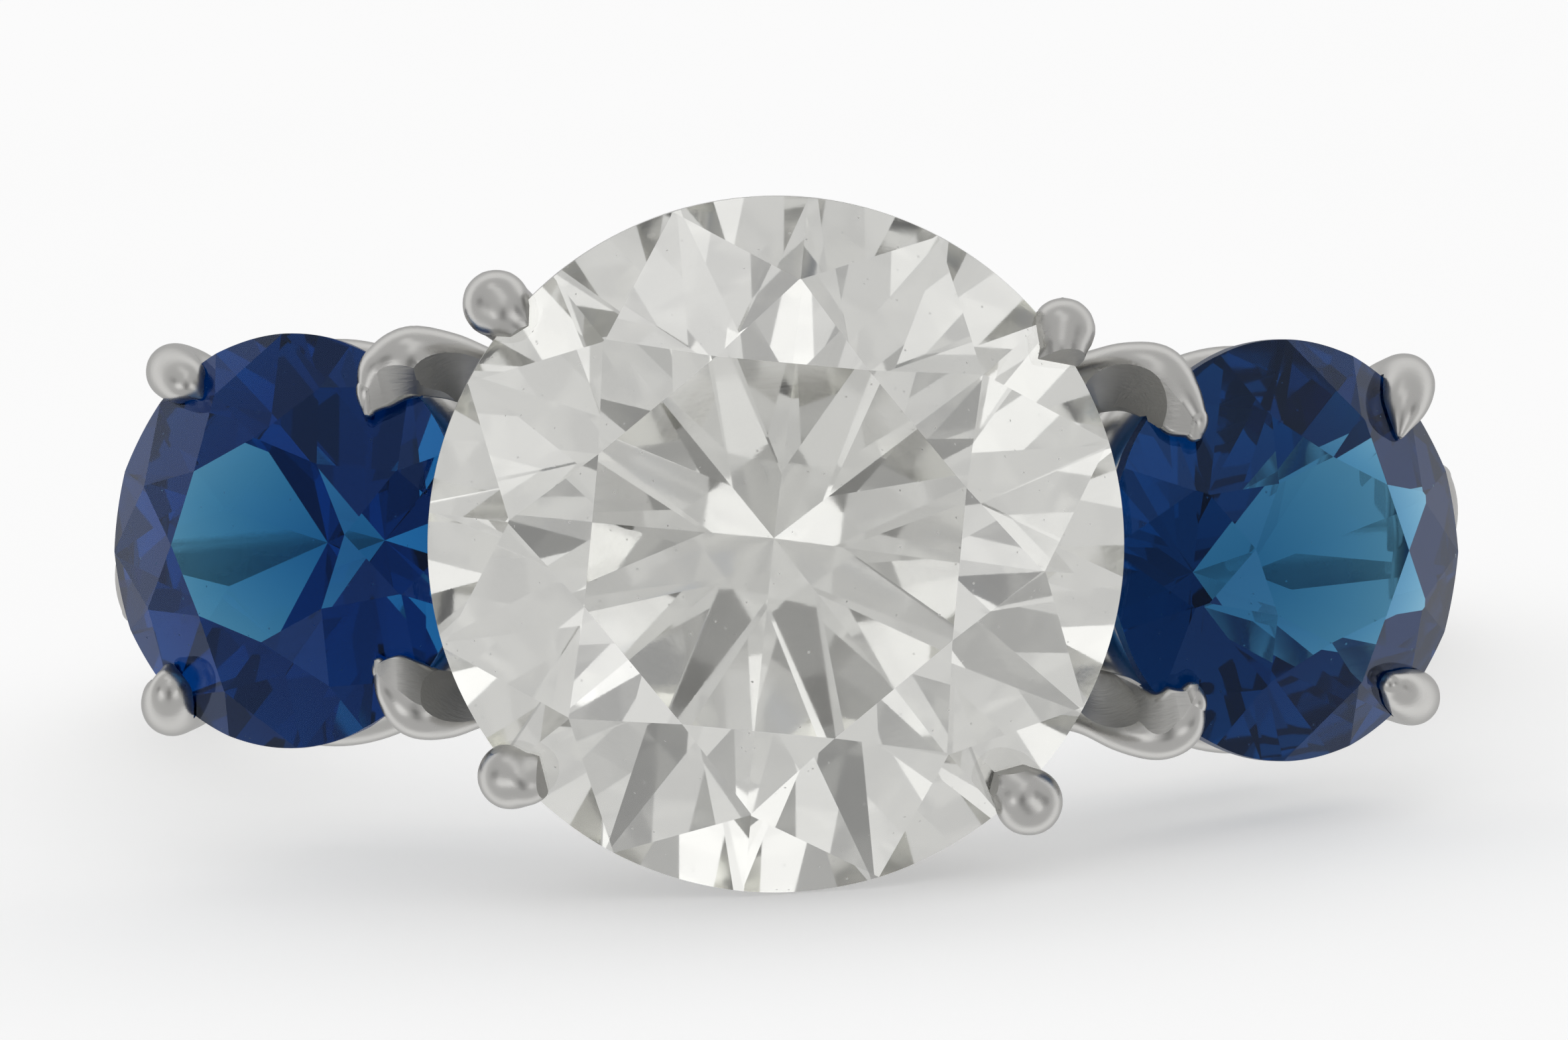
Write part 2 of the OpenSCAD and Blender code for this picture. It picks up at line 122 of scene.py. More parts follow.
def new_object(name, points, faces, filed=0.0):
    """Object from its points and faces. Each face says whether a file or bur has left it."""
    mesh = bpy.data.meshes.new(name)
    mesh.from_pydata([tuple(p) for p in points], [], faces)
    mesh.update()
    mesh.attributes.new("filed", "FLOAT", "FACE").data.foreach_set("value", [filed] * len(faces))
    obj = bpy.data.objects.new(name, mesh)
    bpy.context.scene.collection.objects.link(obj)
    return obj


# Stones. A cut has MAINS main facets above the girdle and as many below it. A face whose normal's
# z is less than UPRIGHT belongs to the girdle.
MAINS = 8
UPRIGHT = 0.02
# Heights and offsets of a cut are shares of the half width. Turns are degrees.
DIAMOND_CUT = dict(table=0.573, crown=1.64 / DIAMOND_R, girdle=0.45 / DIAMOND_R,
                   pavilion=tan(radians(41.04)), star=0.514, half=0.199, turn=17.25, twist=-1.04,
                   culet_at=(-0.014 / DIAMOND_R, 0.05 / DIAMOND_R),
                   table_at=(-0.034 / DIAMOND_R, 0.029 / DIAMOND_R))
SAPPHIRE_CUT = {
    -1: dict(table=0.493, crown=0.29, girdle=0.044, pavilion=tan(radians(41.9)),
             star=0.592, half=0.477, turn=2.9, twist=1.1,
             culet_at=(0.0295, -0.0025), table_at=(-0.024, -0.0015)),
    1: dict(table=0.44, crown=0.3585, girdle=0.082, pavilion=tan(radians(33.1)),
            star=0.482, half=0.21, turn=-0.4, twist=-4.7,
            culet_at=(-0.102, -0.107), table_at=(0.062, 0.004))}


def facet(a, b, c):
    """Outward plane through three points of a stone whose middle is the origin."""
    normal = (b - a).cross(c - a).normalized()
    middle = (a + b + c) / 3
    return middle, normal if normal.dot(middle) > 0 else -normal


def brilliant_facets(cut):
    """Planes of a brilliant cut on a unit round girdle, heights in units of its radius."""
    part = 2 * pi / MAINS
    top, turn, table = cut["girdle"] / 2, radians(cut["turn"]), cut["table"]
    low_turn = turn + radians(cut["twist"])
    crown, pavilion = cut["crown"], cut["pavilion"]
    up, down = Vector((0, 0, top + crown)), Vector((0, 0, -top - pavilion))
    off_table = Vector((*cut["table_at"], 0))
    off_culet = Vector((*cut["culet_at"], 0))
    star_r = mix(table * cos(part / 2), 1, cut["star"])
    star_z = top + crown * (1 - (star_r * cos(part / 2) - table) / (1 - table))
    half_r = cut["half"]
    half_z = -top - pavilion * (1 - half_r * cos(part / 2))
    out = [(up, Vector((0, 0, 1)))]
    for i in range(MAINS):
        a = turn + i * part
        corner = polar(table, a) + up + off_table
        star = polar(star_r, a + part / 2) + off_table / 2 + Vector((0, 0, star_z))
        rim = [polar(1, a + k * part / 2) + Vector((0, 0, top)) for k in range(3)]
        out += [facet(corner, rim[0], rim[0] + polar(1, a + pi / 2)),
                facet(corner, polar(table, a + part) + up + off_table, star),
                facet(star, rim[0], rim[1]),
                facet(star, rim[1], rim[2])]
        a = low_turn + i * part
        half = polar(half_r, a + part / 2) + off_culet * (1 - half_r) + Vector((0, 0, half_z))
        rim = [polar(1, a + k * part / 2) - Vector((0, 0, top)) for k in range(3)]
        out += [facet(down + off_culet, rim[0], rim[0] + polar(1, a + pi / 2)),
                facet(half, rim[0], rim[1]),
                facet(half, rim[1], rim[2])]
    return out


def cut_stone(name, rx, ry, cut, steps=192):
    """Cuts a girdle's cylinder facet by facet, as a lapidary does. Lengths in mm. The girdle's
    faces, which stand upright, are marked as ground."""
    bm = bmesh.new()
    bmesh.ops.create_cone(bm, cap_ends=True, segments=steps, radius1=rx, radius2=rx, depth=4 * rx)
    bmesh.ops.scale(bm, vec=(1, ry / rx, 1), verts=bm.verts)
    for co, normal in brilliant_facets(cut):
        at = Vector((co.x * rx, co.y * ry, co.z * rx))
        slope = Vector((normal.x / rx, normal.y / ry, normal.z / rx)).normalized()
        part = bmesh.ops.bisect_plane(bm, geom=bm.verts[:] + bm.edges[:] + bm.faces[:],
                                      plane_co=at, plane_no=slope, clear_outer=True)
        edges = [e for e in part["geom_cut"] if isinstance(e, bmesh.types.BMEdge)]
        if edges:
            bmesh.ops.contextual_create(bm, geom=edges)
    bmesh.ops.recalc_face_normals(bm, faces=bm.faces)
    ground = bm.faces.layers.float.new("ground")
    for f in bm.faces:
        f[ground] = 1 if abs(f.normal.z) < UPRIGHT else 0
    mesh = bpy.data.meshes.new(name)
    bm.to_mesh(mesh)
    bm.free()
    obj = bpy.data.objects.new(name, mesh)
    bpy.context.scene.collection.objects.link(obj)
    return obj


def stone(name, side, material):
    """A stone in its seat: upright without a material, laid down with one."""
    if side == 0:
        obj = cut_stone(name, DIAMOND_R, DIAMOND_R, DIAMOND_CUT)
    else:
        w, h = SAPPHIRE_SIZE[side]
        obj = cut_stone(name, w / 2, h / 2, SAPPHIRE_CUT[side])
    obj.data.transform(upright_place(side))
    if material:
        obj.data.transform(LAID)
        obj.data.materials.append(material)
    return obj


def seat_cutter(side):
    """The stone grown by the gap to its seats, upright."""
    obj = stone("seat", side, None)
    r = DIAMOND_R if side == 0 else SAPPHIRE_SIZE[side][0] / 2
    place = upright_place(side)
    obj.data.transform(place @ Matrix.Scale(1 + SEAT_GAP / r, 4) @ place.inverted())
    return obj


# Metal

def smooth_rows(rows, steps):
    """Catmull-Rom curve through rows of numbers."""
    out = []
    for i in range(len(rows) - 1):
        a, b = rows[max(i - 1, 0)], rows[i]
        c, d = rows[i + 1], rows[min(i + 2, len(rows) - 1)]
        for k in range(steps):
            t = k / steps
            out.append([0.5 * (2 * q + (r - p) * t + (2 * p - 5 * q + 4 * r - s) * t * t
                               + (3 * q - p - 3 * r + s) * t ** 3)
                        for p, q, r, s in zip(a, b, c, d)])
    return out + [list(rows[-1])]


def wire(rows, up=(0, 0, 1), steps=8, sides=32, caps=12):
    """Wire along a smooth route with a round end. A row is x, y, z and the wire's radius, and of
    a blade the same again for its second edge. The flat sides between the edges are filed."""
    blade = len(rows[0]) > 4
    line = smooth_rows([list(q) if blade else list(q) * 2 for q in rows], steps)
    n = len(line)
    at = [Vector(q[:3]) for q in line]
    way = [(at[min(i + 1, n - 1)] - at[max(i - 1, 0)]).normalized() for i in range(n)]
    rings = [(at[i], line[i][3], Vector(line[i][4:7]), line[i][7], way[i]) for i in range(n)]
    p, r, low, low_r, end = rings[-1]
    for k in range(1, caps):
        c = cos(k * pi / (2 * caps))
        tip = (p + low) / 2 + end * r * sin(k * pi / (2 * caps))
        rings.append((tip + (p - low) / 2 * c, r * c, tip - (p - low) / 2 * c, low_r * c, end))
    points = []
    for p, r, low, low_r, w in rings:
        s = (p - low if blade else Vector(up)).cross(w).normalized()
        u = w.cross(s)
        for k in range(sides):
            a = 2 * pi * k / sides
            out = s * cos(a) + u * sin(a)
            points.append(p + r * out if k <= sides / 2 else low + low_r * out)
    faces = [list(range(sides - 1, -1, -1))]
    for i in range(len(rings) - 1):
        for k in range(sides):
            j = (k + 1) % sides
            faces.append([i * sides + k, i * sides + j, (i + 1) * sides + j, (i + 1) * sides + k])
    last = (len(rings) - 1) * sides
    faces.append([last + k for k in range(sides)])
    obj = new_object("wire", points, faces)
    if blade:
        filed = obj.data.attributes["filed"].data
        for face in range(1, len(faces) - 1):
            filed[face].value = (face - 1) % sides in (sides // 2, sides - 1)
    return obj


def bur(x, y, r, z, slope, steps=128):
    """Cone that files a hollow of the radius r at the height z, with sides that rise by slope."""
    fall, rise = tan(radians(slope)), 1.5
    points = [Vector((x, y, z - r * fall))]
    points += [Vector((x, y, z + rise)) + polar(r + rise / fall, 2 * pi * k / steps)
               for k in range(steps)]
    faces = [[0, 1 + (k + 1) % steps, 1 + k] for k in range(steps)]
    faces.append(list(range(1, steps + 1)))
    return new_object("bur", points, faces, 1.0)


def flat(x, y, z, way, slope, size=2.0):
    """Block above a plane through a point, which files a flat that faces the angle way."""
    place = (Matrix.Translation((x, y, z)) @ Matrix.Rotation(radians(way), 4, "Z")
             @ Matrix.Rotation(radians(slope), 4, "Y"))
    points = [place @ Vector((a, b, c)) for c in (0, size) for a, b in
              ((-size, -size), (size, -size), (size, size), (-size, size))]
    faces = [[3, 2, 1, 0], [4, 5, 6, 7]]
    faces += [[k, (k + 1) % 4, 4 + (k + 1) % 4, 4 + k] for k in range(4)]
    return new_object("flat", points, faces, 1.0)


def lathe(profile, steps, place, name):
    """A closed profile of (r, z) turned about Z."""
    m = len(profile)
    points = [place @ Vector((r * cos(2 * pi * i / steps), r * sin(2 * pi * i / steps), z))
              for i in range(steps) for r, z in profile]
    faces = []
    for i in range(steps):
        j = (i + 1) % steps
        for k in range(m):
            q = (k + 1) % m
            faces.append([i * m + k, j * m + k, j * m + q, i * m + q])
    return new_object(name, points, faces)


def gallery(r, z, place, steps=128, sides=24):
    ring = [(r + RAIL_R * cos(2 * pi * k / sides), z + RAIL_R * sin(2 * pi * k / sides))
            for k in range(sides)]
    return lathe(ring, steps, place, "gallery")


def shank():
    half = SHANK_W / 2 - SHANK_EDGE_R
    inner, outer = FINGER_R + SHANK_EDGE_R, SHANK_R - SHANK_DOME - SHANK_EDGE_R
    dome_r = (half ** 2 + SHANK_DOME ** 2) / (2 * SHANK_DOME)
    steps = 6
    corner = [(SHANK_EDGE_R * cos(pi / 2 * k / steps), SHANK_EDGE_R * sin(pi / 2 * k / steps))
              for k in range(steps + 1)]
    profile = [(outer + c, half + s) for c, s in corner]
    profile += [(inner - s, half + c) for c, s in corner]
    profile += [(inner - c, -half - s) for c, s in corner]
    profile += [(outer + s, -half - c) for c, s in corner]
    profile += [(SHANK_R - dome_r + sqrt(dome_r ** 2 - (half * t) ** 2), half * t)
                for t in (-0.75, -0.5, -0.25, 0, 0.25, 0.5, 0.75)]
    place = Matrix.Rotation(SHANK_TWIST, 4, "Z") @ Matrix.Rotation(pi / 2, 4, "X")
    target = lathe(profile, SHANK_STEPS, place, "shank")
    boolean(target, [azure(side) for side in (-1, 1)], "DIFFERENCE")
    return target


def azure(side, steps=128):
    """Drill along a sapphire's axis, which opens the shank behind the stone to the light."""
    place = upright_place(side)
    points = [place @ (polar(AZURE_R, 2 * pi * k / steps) + Vector((0, 0, z)))
              for z in AZURE_SPAN for k in range(steps)]
    faces = [list(range(steps - 1, -1, -1)), list(range(steps, 2 * steps))]
    faces += [[k, (k + 1) % steps, steps + (k + 1) % steps, steps + k] for k in range(steps)]
    return new_object("azure", points, faces)


def over_sapphire(side, p, h):
    """Point at the height h over a sapphire's girdle, above the plan place p."""
    up = upright_place(side).to_3x3() @ Vector((0, 0, 1))
    at = SAPPHIRE_AT[side]
    z = SAPPHIRE_Z + (h - up.x * (p[0] - at.x) - up.y * (p[1] - at.y)) / up.z
    return [p[0], p[1], z]


def on_crown(side, p, lift):
    """Point at the height lift over a sapphire's crown, above the plan place p."""
    cut = SAPPHIRE_CUT[side]
    w, h = SAPPHIRE_SIZE[side]
    at = upright_place(side).inverted() @ Vector(over_sapphire(side, p, cut["crown"] * w / 4))
    far = min(hypot(2 * at.x / w, 2 * at.y / h), 1)
    rise = cut["crown"] * min(1, (1 - far) / (1 - cut["table"])) + cut["girdle"] / 2
    return over_sapphire(side, p, rise * w / 2 + lift)


def by_sapphire(side, way, r, h):
    """Point at the distance r from a sapphire's axis and the height h, in the direction way."""
    return list(upright_place(side) @ Vector((side * way[0] * r, way[1] * r, h)))


# Lower stem of the diamond's claws: distance from its axis, height over the girdle and radius
DIAMOND_STEM = ((2.6, -4.0, 0.42), (4.15, -2.3, 0.44), (5.3, -1.0, 0.48))
# Upper stem: added to the ball's distance, height over the girdle, added to the ball's radius
DIAMOND_BALL = ((-0.06, -0.2, -0.04), (0, 0.2, -0.01))
# Foot of the head in the ball: height over the girdle, added to the ball's radius
HEAD_FOOT = (0.28, -0.1)
# Bend of the head: its share of the way up from BEND_Z to the nib's middle, and of the way from the
# ball's radius to the nib's
BEND_Z = 0.3
BEND_UP = 0.6
BEND_THIN = 0.42
# Heights over the girdle of the nibs' tops, and of the points that the filed flats pass through
NIB_TOP = 0.72
FLAT_Z = 0.6
# Diamond's claws: angle, distance and radius of the ball, reach, turn and radius of the nib, and
# the filed flats with their plan place, the way they face and their slope
DIAMOND_CLAWS = [
    (139.3, 5.82, 0.56, 0.48, 0, 0.3, [(-4.1, 3.7, 12, 64), (-4.2, 3.36, -66, 66)]),
    (36.7, 5.66, 0.53, 0.6, -3, 0.24, [(3.93, 3.3, 180, 62), (4.3, 2.96, -78, 62)]),
    (221.2, 5.56, 0.55, 0.36, 2, 0.32, [(-3.9, -3.6, 0, 68), (-4.25, -3.17, 118, 66)]),
    (-45.5, 5.7, 0.56, 0.42, 0, 0.38, [(3.32, -3.9, 178, 66), (3.8, -3.58, 96, 74)])]
# Stem of the outer claws: distance from the sapphire's axis, height over its girdle and radius
OUTER_STEM = ((2.7, -3.9, 0.34), (3.03, -1.5, 0.36))
# Shoulder: added to the body's distance, height over the girdle, added to the body's radius
OUTER_SHOULDER = (-0.03, -0.55, -0.05)
# Height of the body, height halfway to the tip, what the radius loses there, and the gap between
# the tip and the crown
BODY_Z = 0.08
HALFWAY_Z = 0.5
HALFWAY_THIN = 0.08
TIP_GAP = 0.02
# Outer claws: side, plan places of body and tip, and their radii
OUTER_CLAWS = [
    (-1, (-9.74, 2.74), (-9.30, 2.36), 0.45, 0.10),
    (-1, (-9.80, -2.59), (-9.80, -1.98), 0.45, 0.12),
    (1, (9.86, 2.56), (9.73, 1.76), 0.45, 0.12),
    (1, (9.95, -2.44), (9.58, -2.21), 0.45, 0.20)]
# Inner claws: rows along the claw and filed hollows, two claws at the left sapphire and then two at
# the right one. A row is x, y, z and radius of the crest, and then of the edge over the stone. A
# hollow is x, y, radius, height and slope.
INNER_CLAWS = [
    ([(-3.1, 1.9, 10.3, 0.42, -3.1, 1.85, 10.2, 0.42),
      (-3.95, 2.4, 11.8, 0.42, -3.95, 2.3, 11.5, 0.4),
      (-4.75, 2.72, 12.55, 0.38, -4.75, 2.35, 11.9, 0.25),
      (-5.35, 2.95, 12.78, 0.4, -5.4, 2.5, 12.0, 0.2),
      (-5.95, 2.95, 12.85, 0.5, -5.95, 2.45, 12.68, 0.15),
      (-6.42, 2.75, 12.78, 0.38, -6.35, 2.25, 12.78, 0.12),
      (-6.62, 2.45, 12.8, 0.2, -6.6, 2.12, 12.82, 0.1)],
     [(-5.1, 2.05, 0.95, 13.1, 58)]),
    ([(-3.1, -1.9, 10.3, 0.42, -3.1, -1.85, 10.2, 0.42),
      (-3.95, -2.3, 11.8, 0.42, -3.95, -2.2, 11.5, 0.4),
      (-4.8, -2.5, 12.5, 0.38, -4.8, -2.2, 12.1, 0.25),
      (-5.4, -2.68, 12.78, 0.4, -5.4, -2.2, 12.45, 0.2),
      (-5.86, -2.6, 12.92, 0.46, -5.85, -1.98, 12.86, 0.13),
      (-6.2, -2.3, 12.96, 0.34, -6.2, -1.84, 12.93, 0.13),
      (-6.42, -2.02, 12.9, 0.14, -6.45, -1.9, 12.9, 0.1)],
     [(-4.95, -2.05, 0.75, 13.0, 60)]),
    ([(3.1, 1.9, 10.3, 0.42, 3.1, 1.85, 10.2, 0.42),
      (3.95, 2.45, 11.8, 0.42, 3.95, 2.35, 11.5, 0.4),
      (4.75, 2.68, 12.5, 0.36, 4.75, 2.3, 11.9, 0.25),
      (5.35, 2.79, 12.85, 0.4, 5.35, 2.3, 12.2, 0.2),
      (5.85, 2.66, 12.98, 0.5, 5.85, 2.05, 12.98, 0.16),
      (6.2, 2.3, 13.08, 0.4, 6.12, 1.82, 13.13, 0.14),
      (6.46, 1.97, 13.16, 0.22, 6.42, 1.76, 13.17, 0.13)],
     [(5.05, 1.95, 0.88, 13.2, 56)]),
    ([(3.1, -1.9, 10.3, 0.42, 3.1, -1.85, 10.2, 0.42),
      (3.95, -2.4, 11.8, 0.42, 3.95, -2.3, 11.5, 0.4),
      (4.75, -2.66, 12.5, 0.36, 4.75, -2.2, 11.9, 0.25),
      (5.35, -2.92, 12.8, 0.38, 5.35, -2.3, 12.2, 0.2),
      (5.88, -2.98, 12.95, 0.44, 5.85, -2.52, 12.95, 0.18),
      (6.22, -2.82, 13.0, 0.42, 6.15, -2.38, 13.0, 0.18),
      (6.42, -2.52, 13.02, 0.24, 6.38, -2.36, 13.02, 0.16)],
     [(5.0, -2.1, 0.8, 13.1, 58)])]


def diamond_claw(angle, reach, ball, nib, skew, nib_r, flats):
    """Stem with a ball beside the girdle, and a head that bends over the stone to a nib."""
    out = polar(1, radians(angle))
    tip = polar(1, radians(angle + skew))

    def at(way, r, z, w):
        return [DIAMOND_AT.x + way.x * r, way.y * r, z, w]

    def above(h):
        return DIAMOND_AT.z + h

    tip_z = above(NIB_TOP) - nib_r
    stem = [at(out, r, above(h), w) for r, h, w in DIAMOND_STEM]
    stem += [at(out, reach + r, above(h), ball + w) for r, h, w in DIAMOND_BALL]
    bend_z = mix(above(BEND_Z), tip_z, BEND_UP)
    head = [at(out, reach, above(HEAD_FOOT[0]), ball + HEAD_FOOT[1]),
            at(tip, reach - nib / 2, bend_z, mix(ball, nib_r, BEND_THIN)),
            at(tip, reach - nib, tip_z, nib_r)]
    across = (-out.y, out.x, 0)
    target = wire(stem, across)
    boolean(target, [wire(head, across)], "UNION")
    soften(target)
    cuts = [flat(x, y, above(FLAT_Z), way, slope) for x, y, way, slope in flats]
    boolean(target, cuts, "DIFFERENCE")
    return target


def outer_claw(side, body, tip, body_r, tip_r):
    """Thin claw that rises beside a sapphire and bends over it to its tip on the crown."""
    at = SAPPHIRE_AT[side]
    away = ((body[0] - at.x) * side / cos(LEAN[side]), body[1] - at.y)
    reach = hypot(*away)
    out = (away[0] / reach, away[1] / reach)
    half = [mix(a, b, 0.5) for a, b in zip(body, tip)]
    r, h, w = OUTER_SHOULDER
    rows = [by_sapphire(side, out, *row[:2]) + [row[2]] for row in OUTER_STEM]
    rows += [by_sapphire(side, out, reach + r, h) + [body_r + w],
             over_sapphire(side, body, BODY_Z) + [body_r],
             over_sapphire(side, half, HALFWAY_Z) + [body_r - HALFWAY_THIN],
             on_crown(side, tip, tip_r + TIP_GAP) + [tip_r]]
    target = wire(rows, (-out[1] * side, out[0], 0))
    soften(target, grain=0.05, rounds=12)
    return target


def inner_claw(rows, hollows):
    """Blade on a curved arm, with a filed hollow beside the diamond."""
    target = wire(rows)
    boolean(target, [bur(*row) for row in hollows], "DIFFERENCE")
    return target


def soften(target, grain=0.065, rounds=14):
    """Blends the pieces of a claw into one smooth form, on a grid of the grain's size in mm."""
    skin = target.modifiers.new("skin", "REMESH")
    skin.mode, skin.voxel_size = "VOXEL", grain
    smooth = target.modifiers.new("smooth", "SMOOTH")
    smooth.factor, smooth.iterations = 0.5, rounds
    take_result(target)
    if "filed" not in target.data.attributes:
        target.data.attributes.new("filed", "FLOAT", "FACE")


def take_result(target):
    """Makes the mesh what the modifiers make of it."""
    depsgraph = bpy.context.evaluated_depsgraph_get()
    mesh = bpy.data.meshes.new_from_object(target.evaluated_get(depsgraph))
    target.modifiers.clear()
    old, target.data = target.data, mesh
    bpy.data.meshes.remove(old)


def boolean(target, others, operation):
    """Joins or cuts with all the others at once, and removes them."""
    group = bpy.data.collections.new("cutters")
    bpy.context.scene.collection.children.link(group)
    for o in others:
        group.objects.link(o)
    mod = target.modifiers.new("boolean", "BOOLEAN")
    mod.operation, mod.solver = operation, "MANIFOLD"
    mod.operand_type, mod.collection = "COLLECTION", group
    take_result(target)
    for o in others:
        bpy.data.objects.remove(o)
    bpy.data.collections.remove(group)


# Edges that turn more than this stay sharp
SHARP_EDGE = radians(21)


def metal(material):
    """The soldered mounting in one mesh."""
    target = shank()
    parts = [gallery(r, z, upright_place(0)) for r, z in DIAMOND_RAILS]
    for side in (-1, 1):
        parts += [gallery(r, z, upright_place(side)) for r, z in SAPPHIRE_RAILS]
    parts += [diamond_claw(*row) for row in DIAMOND_CLAWS]
    parts += [outer_claw(*row) for row in OUTER_CLAWS]
    parts += [inner_claw(*row) for row in INNER_CLAWS]
    boolean(target, parts, "UNION")
    boolean(target, [seat_cutter(side) for side in (0, -1, 1)], "DIFFERENCE")
    target.data.transform(LAID)
    target.name = target.data.name = "platinum_mounting"
    target.data.materials.clear()
    target.data.materials.append(material)
    target.data.shade_smooth()
    target.data.set_sharp_from_angle(angle=SHARP_EDGE)
    return target


# Materials. Scales of the noises are per metre, heights of the bumps are metres, and a pair is the
# lowest and the highest value. A grain is a noise's stretch, scale and detail.
PLATINUM = (0.6, 0.593, 0.575, 1)
PLATINUM_EDGE = (0.8, 0.8, 0.8, 1)
WEAR_SCALE = 1400
WEAR_ROUGH = (0.22, 0.34)
FILED_ROUGH = 0.2
# Brushed grain, its strength on satin and on filed metal, and its height
BRUSHED = ((0.12, 1, 1), 16000, 4)
BRUSHED_BUMP = (0.15, 0.8)
BRUSHED_HEIGHT = 0.000012

# Stones: roughness of the polish, of a ground girdle and of pits, which lie in the middle of cells
POLISH_SCALE = 1500
POLISH_ROUGH = (0.01, 0.05)
GROUND_ROUGH = 0.35
PIT_SCALE = 2500
PIT_ROUGH = 0.5
PIT_SIZE = (0.03, 0.06)
# Grain of the polish lines
LINES = ((0.1, 1, 1), 9000, 2)
LINES_STRENGTH = 0.1
LINES_HEIGHT = 0.000001
# Index of refraction, tint of the surface's mirror image, body colour and its density. The
# sapphires' mirror tint is painted shade, dim and blue, standing in for a darker studio around
# them.
DIAMOND_LOOK = (2.417, (1, 1, 1), (0.95, 0.93, 0.05), 3)
SAPPHIRE_IOR = 1.77
SAPPHIRE_PAINTED_SHADE = (0.2, 0.33, 0.66)
SAPPHIRE_DENSITY = 1150
LEFT_LOOK = (SAPPHIRE_IOR, SAPPHIRE_PAINTED_SHADE, (0.058, 0.56, 0.77), SAPPHIRE_DENSITY)
RIGHT_LOOK = (SAPPHIRE_IOR, SAPPHIRE_PAINTED_SHADE, (0.08, 0.545, 0.74), SAPPHIRE_DENSITY)

FLOOR_SIZE = 3.0
FLOOR_SCALE = 40
FLOOR_WHITE = (0.93, 0.945)
FLOOR_ROUGH = 0.9
FLOOR_GLOW = 0.275


def new_material(name):
    mat = bpy.data.materials.new(name)
    mat.use_nodes = True
    tree = mat.node_tree
    shader = next(n for n in tree.nodes if n.type == "BSDF_PRINCIPLED")
    return mat, tree, shader


def noise(tree, stretch, scale, detail=3):
    """Value of a noise over the piece, with its grain drawn out along the stretch."""
    coord = tree.nodes.new("ShaderNodeTexCoord")
    mapping = tree.nodes.new("ShaderNodeMapping")
    mapping.inputs["Scale"].default_value = stretch
    texture = tree.nodes.new("ShaderNodeTexNoise")
    texture.inputs["Scale"].default_value = scale
    texture.inputs["Detail"].default_value = detail
    tree.links.new(coord.outputs["Object"], mapping.inputs["Vector"])
    tree.links.new(mapping.outputs["Vector"], texture.inputs["Vector"])
    return texture.outputs["Fac"]


def spread(tree, value, low, high, start=0.3, end=0.7):
    """Maps a value's range from start to end onto low to high."""
    node = tree.nodes.new("ShaderNodeMapRange")
    for name, number in (("From Min", start), ("From Max", end), ("To Min", low), ("To Max", high)):
        node.inputs[name].default_value = number
    tree.links.new(value, node.inputs["Value"])
    return node.outputs["Result"]


def platinum_material():
    """Satin metal: brushed along the arms, with softly uneven wear."""
    mat, tree, shader = new_material("platinum")
    shader.inputs["Base Color"].default_value = PLATINUM
    shader.inputs["Specular Tint"].default_value = PLATINUM_EDGE
    shader.inputs["Metallic"].default_value = 1
    wear = noise(tree, (1, 1, 1), WEAR_SCALE)
    filed = tree.nodes.new("ShaderNodeAttribute")
    filed.attribute_name = "filed"
    rough = tree.nodes.new("ShaderNodeMath")
    rough.operation = "ADD"
    tree.links.new(spread(tree, wear, *WEAR_ROUGH), rough.inputs[0])
    tree.links.new(spread(tree, filed.outputs["Fac"], 0, FILED_ROUGH, 0, 1), rough.inputs[1])
    tree.links.new(rough.outputs["Value"], shader.inputs["Roughness"])
    brushed = noise(tree, *BRUSHED)
    bump = tree.nodes.new("ShaderNodeBump")
    tree.links.new(spread(tree, filed.outputs["Fac"], *BRUSHED_BUMP, 0, 1), bump.inputs["Strength"])
    bump.inputs["Distance"].default_value = BRUSHED_HEIGHT
    tree.links.new(brushed, bump.inputs["Height"])
    tree.links.new(bump.outputs["Normal"], shader.inputs["Normal"])
    return mat


def gem_material(name, ior, painted_mirror_shade, colour, density):
    """Clear stone: polished facets with faint polish lines and pits, a ground girdle, and a body
    colour that deepens with the light's way through it."""
    mat, tree, shader = new_material(name)
    shader.inputs["Base Color"].default_value = (1, 1, 1, 1)
    shader.inputs["IOR"].default_value = ior
    # Tint of the mirror image: on the sapphires a dim blue, which is painted shade on their
    # reflections
    shader.inputs["Specular Tint"].default_value = (*painted_mirror_shade, 1)
    shader.inputs["Transmission Weight"].default_value = 1
    ground = tree.nodes.new("ShaderNodeAttribute")
    ground.attribute_name = "ground"
    place = tree.nodes.new("ShaderNodeTexCoord")
    cells = tree.nodes.new("ShaderNodeTexVoronoi")
    cells.inputs["Scale"].default_value = PIT_SCALE
    tree.links.new(place.outputs["Object"], cells.inputs["Vector"])
    pits = spread(tree, cells.outputs["Distance"], PIT_ROUGH, 0, *PIT_SIZE)
    grain = spread(tree, ground.outputs["Fac"], 0, GROUND_ROUGH, 0, 1)
    rough = tree.nodes.new("ShaderNodeMath")
    rough.operation = "MAXIMUM"
    tree.links.new(pits, rough.inputs[0])
    tree.links.new(grain, rough.inputs[1])
    total = tree.nodes.new("ShaderNodeMath")
    total.operation = "ADD"
    tree.links.new(rough.outputs["Value"], total.inputs[0])
    polish = noise(tree, (1, 1, 1), POLISH_SCALE)
    tree.links.new(spread(tree, polish, *POLISH_ROUGH), total.inputs[1])
    tree.links.new(total.outputs["Value"], shader.inputs["Roughness"])
    lines = noise(tree, *LINES)
    bump = tree.nodes.new("ShaderNodeBump")
    bump.inputs["Strength"].default_value = LINES_STRENGTH
    bump.inputs["Distance"].default_value = LINES_HEIGHT
    tree.links.new(lines, bump.inputs["Height"])
    tree.links.new(bump.outputs["Normal"], shader.inputs["Normal"])
    out = next(n for n in tree.nodes if n.type == "OUTPUT_MATERIAL")
    absorb = tree.nodes.new("ShaderNodeVolumeAbsorption")
    absorb.inputs["Color"].default_value = (*colour, 1)
    absorb.inputs["Density"].default_value = density
    tree.links.new(absorb.outputs["Volume"], out.inputs["Volume"])
    return mat


